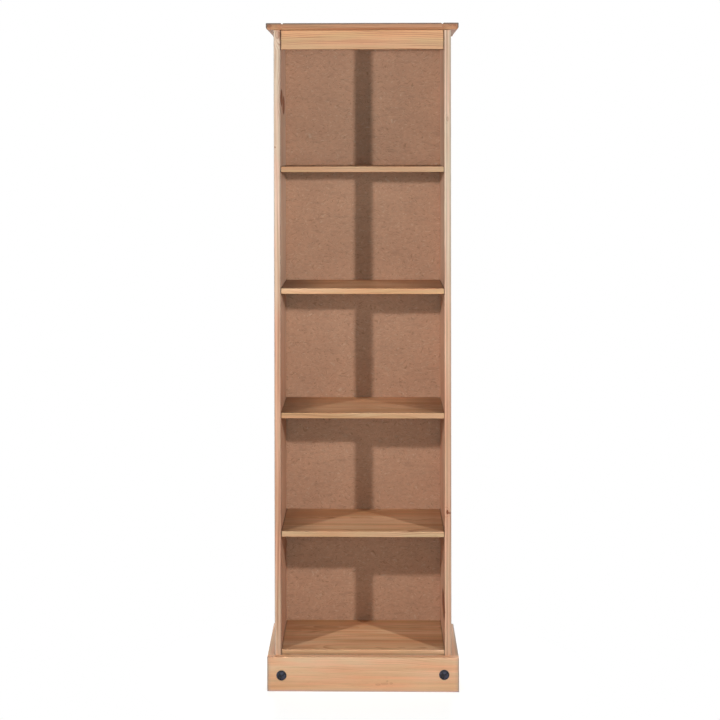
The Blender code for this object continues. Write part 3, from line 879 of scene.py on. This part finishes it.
class BOOKCASE_OT_sides(StepOperator, bpy.types.Operator):
    """Make the two uprights, each with its groove for the back panel"""

    bl_idname = "bookcase.sides"
    bl_label = "Sides"

    knots = {
        "left": (
            ((0.715, -0.087, 0.009), (0.023, 0.05, 0.005), 1),
            ((0.696, 0.016, 0.009), (0.026, 0.052, 0.005), 1),
            ((0.885, -0.1376, 0.001), (0.013, 0.004, 0.006), 0.35),
            ((0.579, -0.1376, -0.0056), (0.0025, 0.004, 0.002), 0.6),
        ),
        "right": (
            ((0.655, -0.1376, -0.0007), (0.007, 0.004, 0.003), 0.25),
            ((-0.412, -0.1376, -0.0016), (0.006, 0.004, 0.003), 1),
            ((-0.4145, -0.1376, 0.006), (0.0025, 0.004, 0.006), 0.8),
            ((-0.684, -0.062, -0.009), (0.036, 0.074, 0.005), 1),
        ),
    }
    streaks = {
        "left": (("X", 0.0068, 0.0042, 0.12), ("X", 0.0012, 0.0026, 0.09)),
        "right": (
            ("X", -0.0058, 0.0026, -0.16),
            ("X", -0.003, 0.0022, 0.26),
            ("X", 0.0024, 0.0024, -0.09),
            ("X", 0.0058, 0.0022, 0.09),
            ("Y", -0.035, 0.012, 0.1),
        ),
    }
    hearts = {"left": (0.45, -0.15), "right": (0.32, 0.08)}
    tones = {"left": (1.14, 1.15, 1.16), "right": (0.965, 0.94, 0.92)}
    # The wide faces are darkened as painted shade, so that the inner faces inside the case come out as dark
    # as their shade.
    faces = {"left": 0.8, "right": 0.85}
    # Painted shade along each side's inner front arris, in the gaps where the rail and the shelves meet it.
    inner_shade = {"left": 0.8, "right": 0}

    def make(self, settings):
        sides = settings.sides
        panel = grow(*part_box("back_panel"), joint_gap)
        for hand, sign in HANDS:
            node, inner = f"side_{hand}", OTHER[hand]
            worn = ((f"{hand} front",), settings.side_edges)
            # The inner front arris gets painted shade in the corner tint.
            inner_shaded = ((f"{inner} front",), settings.corners, self.inner_shade[hand])
            wood = pine(
                f"{node}_pine", UPRIGHT, sides, (0.015, 0.04 * sign), 8.2 + sign, node, self.tones[hand],
                face=self.faces[hand], figure=0.75, sheen=0.08, staves=True,
                knots=self.knots[hand], arris_tints=(worn, inner_shaded), streaks=self.streaks[hand],
                drift=("Z", *self.hearts[hand], getattr(sides, f"{hand}_heart")),
            )
            rounds = {
                f"{hand} front": sides.front_round, f"{inner} front": arris, "left back": arris,
                "right back": arris, "front bottom": arris, "back bottom": arris,
            }
            groove_high = panel[1] + Vector((0, 0, cut_overrun))
            board(node, wood, "side_pine", rounds, slots=[(panel[0], groove_high)])


class BOOKCASE_OT_header(StepOperator, bpy.types.Operator):
    """Make the rail under the front of the top"""

    bl_idname = "bookcase.header"
    bl_label = "Header rail"

    # Painted shadow in the gaps at the rail's two ends.
    end_gap_shades = (("X", -0.2198, 0.0022, 0.25), ("X", 0.2198, 0.0022, 0.42))

    def make(self, settings):
        header = settings.header_rail
        wood = pine(
            "header_rail_pine", RAIL, header, (0.05, 0.03), 12.4, tone=1.03, figure=0.8, waves=2.2,
            drift=("Z", -0.018, 0.016, header.heart), streaks=self.end_gap_shades,
        )
        board("header_rail", wood, "header_pine", every_arris(arris, front_bottom=header.front_round))


class BOOKCASE_OT_shelves(StepOperator, bpy.types.Operator):
    """Make the base shelf and the four shelves above it"""

    bl_idname = "bookcase.shelves"
    bl_label = "Shelves"

    tones = (0.86, 1.12, 1.02, 1.03, 1.1)
    # The wide faces are darkened as painted shade on the tops; the top shelf's is also darkened to dim the
    # light that it throws onto the back.
    faces = (0.76, 0.82, 0.95, 0.96, 0.95)
    wanders = (0.006, 0.014, 0.013, 0.016, 0.016)
    waves = (1.3, 3.4, 3.4, 3.8, 3)
    figures = (0.5, 0.55, 0.6, 0.7, 0.75)
    # How strong the painted shade is towards each end of each shelf top, left and right.
    wide_face_shades = ((1, 1), (3.6, 1.8), (2.9, 2), (1.7, 1), (1, 0.8))
    # How strong the painted shade is in the gaps at each shelf's ends: a dark line near each end, and the
    # corner shade along the ends of its top.
    end_shades = (0.75, 0.6, 0.1, 0.6, 0.3)
    # A painted highlight: the front of the base shelf's top and its front face are made paler.
    front_highlight = ("Y", -0.058, -0.08, (1.13, 1.24, 1.36))
    # Painted shade along the lower half of the base shelf's front, above the plinth.
    foot_shade = ("Z", -0.004, 0.0045, 0.3)
    end_shade_line = (0.221, 0.0012)

    def make(self, settings):
        shelves = settings.shelves
        at, half = self.end_shade_line
        rounds = {
            "front top": shelves.front_round, "front bottom": shelves.front_round,
            "left front": arris, "right front": arris,
        }
        looks = (self.tones, self.faces, self.wanders, self.waves, self.figures, self.wide_face_shades, self.end_shades)
        for number_down, (node, *look) in enumerate(zip(SHELVES, *looks)):
            tone, face, wander, waves, figure, wide_face_shades, end_shade = look
            # Painted shade: dark lines at the shelf ends, and shade on the top towards each end.
            lines = [("X", side * at, half, end_shade) for _, side in HANDS]
            end_face_shade = [((f"{hand} top",), settings.shelf_ends, depth) for (hand, _), depth in zip(HANDS, wide_face_shades)]
            drift = None
            # The base shelf gets a painted highlight along its front and painted shade along the foot of its
            # front.
            if node == "base_shelf":
                lines.append(self.foot_shade)
                drift = self.front_highlight
            wood = pine(
                f"{node}_pine", FLAT, shelves, (0.01, -0.04), 20 + 1.7 * number_down, node, tone,
                face=face, figure=figure, wander=wander, waves=waves, staves=True,
                arris_tints=((("left top", "right top"), settings.corners, end_shade),),
                wide_face_shades=end_face_shade, streaks=lines, drift=drift,
            )
            board(node, wood, "shelf_pine", rounds)


class BOOKCASE_OT_plinth(StepOperator, bpy.types.Operator):
    """Make the front board of the plinth, its returns and the glued blocks"""

    bl_idname = "bookcase.plinth"
    bl_label = "Plinth"

    flecks = tuple(
        ((along, across, -0.0097), (long, 0.003, 0.003), 0.2)
        for along, across, long in (
            (0.0405, -0.0266, 0.0075),
            (0.058, -0.0245, 0.011),
            (0.0655, -0.018, 0.003),
            (0.076, -0.0236, 0.0045),
        )
    )
    rubs = {"left": 0.12, "right": 1.1}
    front_tone = (1.09, 1.08, 1.075)
    tones = {"left": (1.02, 1.1, 1.15), "right": (0.97, 1, 1)}

    def make(self, settings):
        plinth = settings.plinth
        rounds = every_arris(
            arris, front_top=plinth.top_round, left_top=plinth.top_round, right_top=plinth.top_round,
            left_front=plinth.corner_round, right_front=plinth.corner_round,
        )
        worn = (("left front", "right front"), settings.plinth_edges)
        scuffed = (("front bottom",), settings.plinth_foot)
        wood = pine(
            "plinth_front_pine", RAIL, plinth, (0.07, 0.02), 31, "plinth_front", self.front_tone,
            wander=0.012, waves=2.6, knots=self.flecks, arris_tints=(worn, scuffed),
            drift=("Z", 0.036, -0.034, plinth.heart),
        )
        board("plinth_front", wood, "plinth_pine", rounds)
        for hand, sign in HANDS:
            node = f"plinth_return_{hand}"
            wood = pine(
                f"{node}_pine", RETURN, plinth, (-0.06, 0.03), 34 + sign, node, self.tones[hand],
                arris_tints=(((f"{hand} top",), settings.plinth_edges, self.rubs[hand]),),
            )
            rounds = {
                f"{hand} top": plinth.top_round, f"{hand} bottom": arris,
                f"{hand} back": arris, "back top": arris,
            }
            board(node, wood, "plinth_pine", rounds)
            wood = pine(f"plinth_block_{hand}_pine", BLOCK, settings.blocks, (0.02, 0.015), 37 + sign)
            board(f"plinth_block_{hand}", wood, "block_pine", every_arris(arris))


class BOOKCASE_OT_panel(StepOperator, bpy.types.Operator):
    """Give the back panel its hardboard"""

    bl_idname = "bookcase.panel"
    bl_label = "Back panel"

    def make(self, settings):
        dress("back_panel", hardboard(settings.back_panel))


def dress(node, material):
    """Gives a CAD node a finish."""
    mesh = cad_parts[node].data
    mesh.materials.clear()
    mesh.materials.append(material)


class BOOKCASE_OT_studs(StepOperator, bpy.types.Operator):
    """Make the two hammered iron studs of the plinth"""

    bl_idname = "bookcase.studs"
    bl_label = "Studs"

    stud_sides = 64
    dome_rings = 16
    dent_reach = 0.8

    def profile(self, radius, dome, rim, shank_end):
        """The dome from its middle to its rim, then the shank."""
        rise = dome - rim
        sphere = (radius**2 + rise**2) / (2 * rise)
        widest = math.asin(radius / sphere)
        angles = [widest * ring / self.dome_rings for ring in range(self.dome_rings + 1)]
        points = [(sphere * math.sin(a), dome - sphere * (1 - math.cos(a))) for a in angles]
        shank = stud_shank / 2
        tip = shank_end + stud_shank
        return points + [(radius, joint_gap), (shank, joint_gap), (shank, tip), (0, shank_end)]

    def hammer(self, mesh, rim, settings):
        """Dents the dome, deepest in the middle of each dent."""
        for vert in mesh.vertices:
            if vert.co.z > rim:
                nearest = noise.voronoi(vert.co / settings.dent_size)[0][0]
                vert.co.z -= settings.dent_depth * max(0, 1 - nearest / self.dent_reach)

    def make(self, settings):
        fixings = settings.fixings
        iron = black_iron(fixings)
        face_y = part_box("plinth_front")[0].y
        for hand, _ in HANDS:
            node = f"stud_{hand}"
            low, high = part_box(node)
            radius, dome = (high.x - low.x) / 2, face_y - low.y
            points = self.profile(radius, dome, fixings.stud_rim, face_y - high.y)
            mesh = turned_mesh(f"{node}_iron", points, self.stud_sides)
            self.hammer(mesh, fixings.stud_rim, fixings)
            item = add_item(f"{node}_iron", mesh, iron)
            item.location = ((low.x + high.x) / 2, face_y, (low.z + high.z) / 2)
            item.rotation_euler = (math.radians(90), 0, 0)
            soften(item)
            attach(item, "root")
            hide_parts(node)


class BOOKCASE_OT_fixings(StepOperator, bpy.types.Operator):
    """Make the panel screws, and finish the dowels, cams and bolts"""

    bl_idname = "bookcase.fixings"
    bl_label = "Fixings"

    screw_sides = 32
    recess_length_share = 0.56
    recess_width_share = 0.15
    recess_depth_share = 0.6
    crown_share = 0.75

    def screw_mesh(self, head, height, reach):
        """A pan head with a cross recess, along Z, with the seat of its head at the origin."""
        shank = screw_shank / 2
        bulge = [math.radians(degrees) for degrees in (90, 70, 50, 30, 12, 0)]
        crown = height * self.crown_share
        points = [(head * math.cos(a), (height - crown) + crown * math.sin(a)) for a in bulge]
        points += [(head, 0), (shank, 0), (shank, shank * 2 - reach), (0, -reach)]
        item = add_item("screw", turned_mesh("screw", points, self.screw_sides))
        long, wide = head * self.recess_length_share, head * self.recess_width_share
        foot = height * (1 - self.recess_depth_share)
        for half_x, half_y in ((long, wide), (wide, long)):
            shape = bmesh.new()
            add_box(shape, (-half_x, -half_y, foot), (half_x, half_y, height + cut_overrun))
            cut_out(item, shape)
        mesh = item.data
        bpy.data.objects.remove(item)
        return mesh

    def make(self, settings):
        zinc = bright_zinc(settings.fixings)
        beech = {}
        for axis, order in ((0, FLAT), (2, BLOCK)):
            beech[axis] = pine(f"beech_{order[0]}", order, settings.dowels, (0.4, 0.3), 50)
        panel_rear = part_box("back_panel")[1].y + joint_gap
        screw = None
        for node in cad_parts:
            low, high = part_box(node)
            size = high - low
            if node.startswith("dowel_"):
                dress(node, beech[max(range(3), key=lambda at: size[at])])
            elif node.startswith("cam_"):
                dress(node, zinc)
            elif node.startswith("panel_screw_"):
                screw = screw or self.screw_mesh(size.x / 2, high.y - panel_rear, panel_rear - low.y)
                item = add_item(f"{node}_zinc", screw.copy(), zinc)
                item.location = ((low.x + high.x) / 2, panel_rear, (low.z + high.z) / 2)
                item.rotation_euler = (math.radians(-90), 0, 0)
                soften(item)
                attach(item, "root")
                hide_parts(node)
        bpy.data.meshes.remove(screw)


class BOOKCASE_OT_stage(StepOperator, bpy.types.Operator):
    """Set the floor, the lamps, the light from all round and the camera"""

    bl_idname = "bookcase.stage"
    bl_label = "Stage"

    paper_lift = 0.6
    paper_ends = (0.3, 0.64)

    def make(self, settings):
        stage = settings.stage
        self.lay_floor(stage)
        self.light_world(stage)
        face_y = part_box("plinth_front")[0].y
        middle = Vector((0, 0, (CAD_BOX[0].z + CAD_BOX[1].z) / 2))
        aim = Vector((0, 0, stage.lamp_aim))
        for hand, _ in HANDS:
            stand = Vector(getattr(stage, f"lamp_{hand}"))
            self.add_lamp(f"lamp_{hand}", stand, aim, stage.lamp_size, getattr(stage, f"lamp_{hand}_power"))
        beside = Vector((0, face_y, 0)) + Vector(stage.camera)
        below = Vector((beside.x, beside.y, stage.fill_height))
        self.add_lamp("soft_front", below, middle, stage.fill_size, stage.fill_power, stage.fill_tint)
        self.add_lamp("soft_rear", Vector(stage.rear_lamp), middle, stage.fill_size, stage.rear_power)
        self.add_camera(stage, beside)

    def add_lamp(self, name, place, target, size, power, tint=(1, 1, 1)):
        """A round lamp that looks at a point, and that the camera doesn't see."""
        light = bpy.data.lights.new(name, "AREA")
        light.color = tint
        light.shape = "DISK"
        light.size = size
        light.energy = power
        lamp = bpy.data.objects.new(name, light)
        lamp.location = place
        lamp.rotation_euler = (target - place).to_track_quat("-Z", "Y").to_euler()
        lamp.visible_camera = False
        bpy.context.scene.collection.objects.link(lamp)

    def light_world(self, stage):
        """Soft light from all round, seen as white."""
        world = bpy.data.worlds.new("studio")
        bpy.context.scene.world = world
        world.use_nodes = True
        w = Wiring(world.node_tree)
        world.node_tree.nodes.clear()
        soft = w.in_order("ShaderNodeBackground", (1, 1, 1), stage.sky)
        white = w.in_order("ShaderNodeBackground", (1, 1, 1), 1)
        both = w.in_order("ShaderNodeMixShader", self.seen(w), soft, white)
        w.add("ShaderNodeOutputWorld", {"Surface": both})

    def seen(self, w):
        """1 for what the camera sees, straight or in a reflection, and 0 for light on its way."""
        path = w.add("ShaderNodeLightPath").outputs
        mirrored = w.maths("MAXIMUM", path["Is Glossy Ray"], path["Is Transmission Ray"])
        return w.maths("MAXIMUM", path["Is Camera Ray"], mirrored)

    def lay_floor(self, stage):
        """Pale paper that keeps the shadow close to the plinth and passes into white away from it."""
        shape = bmesh.new()
        bmesh.ops.create_grid(shape, x_segments=8, y_segments=8, size=stage.floor_size / 2)
        material = bpy.data.materials.new("paper")
        material.use_nodes = True
        material.node_tree.nodes.clear()
        w = Wiring(material.node_tree)
        place = w.add("ShaderNodeTexCoord").outputs["Object"]
        tooth = w.noise(place, 240, 3)
        tint = w.shade(stage.paper, w.steps(tooth, 0.2, 0.8, 0.98, 1))
        paper = w.in_order("ShaderNodeBsdfDiffuse", tint)
        lift = w.in_order("ShaderNodeEmission", (1, 1, 1), self.paper_lift)
        white = w.in_order("ShaderNodeEmission", (1, 1, 1), 1)
        near = w.in_order("ShaderNodeAddShader", paper, lift)
        reach = w.vector("LENGTH", w.vector("MULTIPLY", place, (1, 1.2, 0)))
        shown = w.in_order("ShaderNodeMixShader", w.steps(reach, *self.paper_ends), near, white)
        whole = w.in_order("ShaderNodeMixShader", self.seen(w), paper, shown)
        w.add("ShaderNodeOutputMaterial", {"Surface": whole})
        floor = add_item("floor", mesh_of("floor", shape), material)

    def add_camera(self, stage, place):
        """An upright camera whose lens is shifted down, as the photograph's was."""
        data = bpy.data.cameras.new("camera")
        data.lens = stage.lens
        data.shift_x = stage.shift_across
        data.shift_y = stage.shift_up
        camera = bpy.data.objects.new("camera", data)
        aim = Matrix.Rotation(stage.heading, 4, "Z") @ Matrix.Rotation(math.pi / 2 - stage.tilt, 4, "X")
        camera.matrix_world = Matrix.Translation(place) @ aim @ Matrix.Rotation(stage.roll, 4, "Z")
        bpy.context.scene.collection.objects.link(camera)
        bpy.context.scene.camera = camera
        bpy.context.scene.view_settings.view_transform = "Standard"


OPERATORS = (
    BOOKCASE_OT_top,
    BOOKCASE_OT_sides,
    BOOKCASE_OT_header,
    BOOKCASE_OT_shelves,
    BOOKCASE_OT_plinth,
    BOOKCASE_OT_panel,
    BOOKCASE_OT_studs,
    BOOKCASE_OT_fixings,
    BOOKCASE_OT_stage,
)


class VIEW3D_PT_bookcase(bpy.types.Panel):
    """Lists the steps and the settings in the sidebar"""

    bl_label = "Narrow Pine Bookcase"
    bl_space_type = "VIEW_3D"
    bl_region_type = "UI"
    bl_category = "Bookcase"

    def draw(self, context):
        settings = context.scene.bookcase
        for operator in OPERATORS:
            self.layout.operator(operator.bl_idname)
        for part, kind in PARTS.items():
            box = self.layout.box()
            box.label(text=LABELS[part])
            for name in kind.__annotations__:
                box.prop(getattr(settings, part), name)


CLASSES = (*PARTS.values(), BookcaseSettings, *OPERATORS, VIEW3D_PT_bookcase)


def register():
    for item in CLASSES:
        bpy.utils.register_class(item)
    bpy.types.Scene.bookcase = PointerProperty(type=BookcaseSettings)


def unregister():
    del bpy.types.Scene.bookcase
    for item in reversed(CLASSES):
        bpy.utils.unregister_class(item)


def main():
    """Makes the whole bookcase and its stage, step by step."""
    register()
    bpy.ops.bookcase.stage()
    bpy.ops.bookcase.top()
    bpy.ops.bookcase.sides()
    bpy.ops.bookcase.header()
    bpy.ops.bookcase.shelves()
    bpy.ops.bookcase.plinth()
    bpy.ops.bookcase.panel()
    bpy.ops.bookcase.studs()
    bpy.ops.bookcase.fixings()


if __name__ == "__main__":
    main()
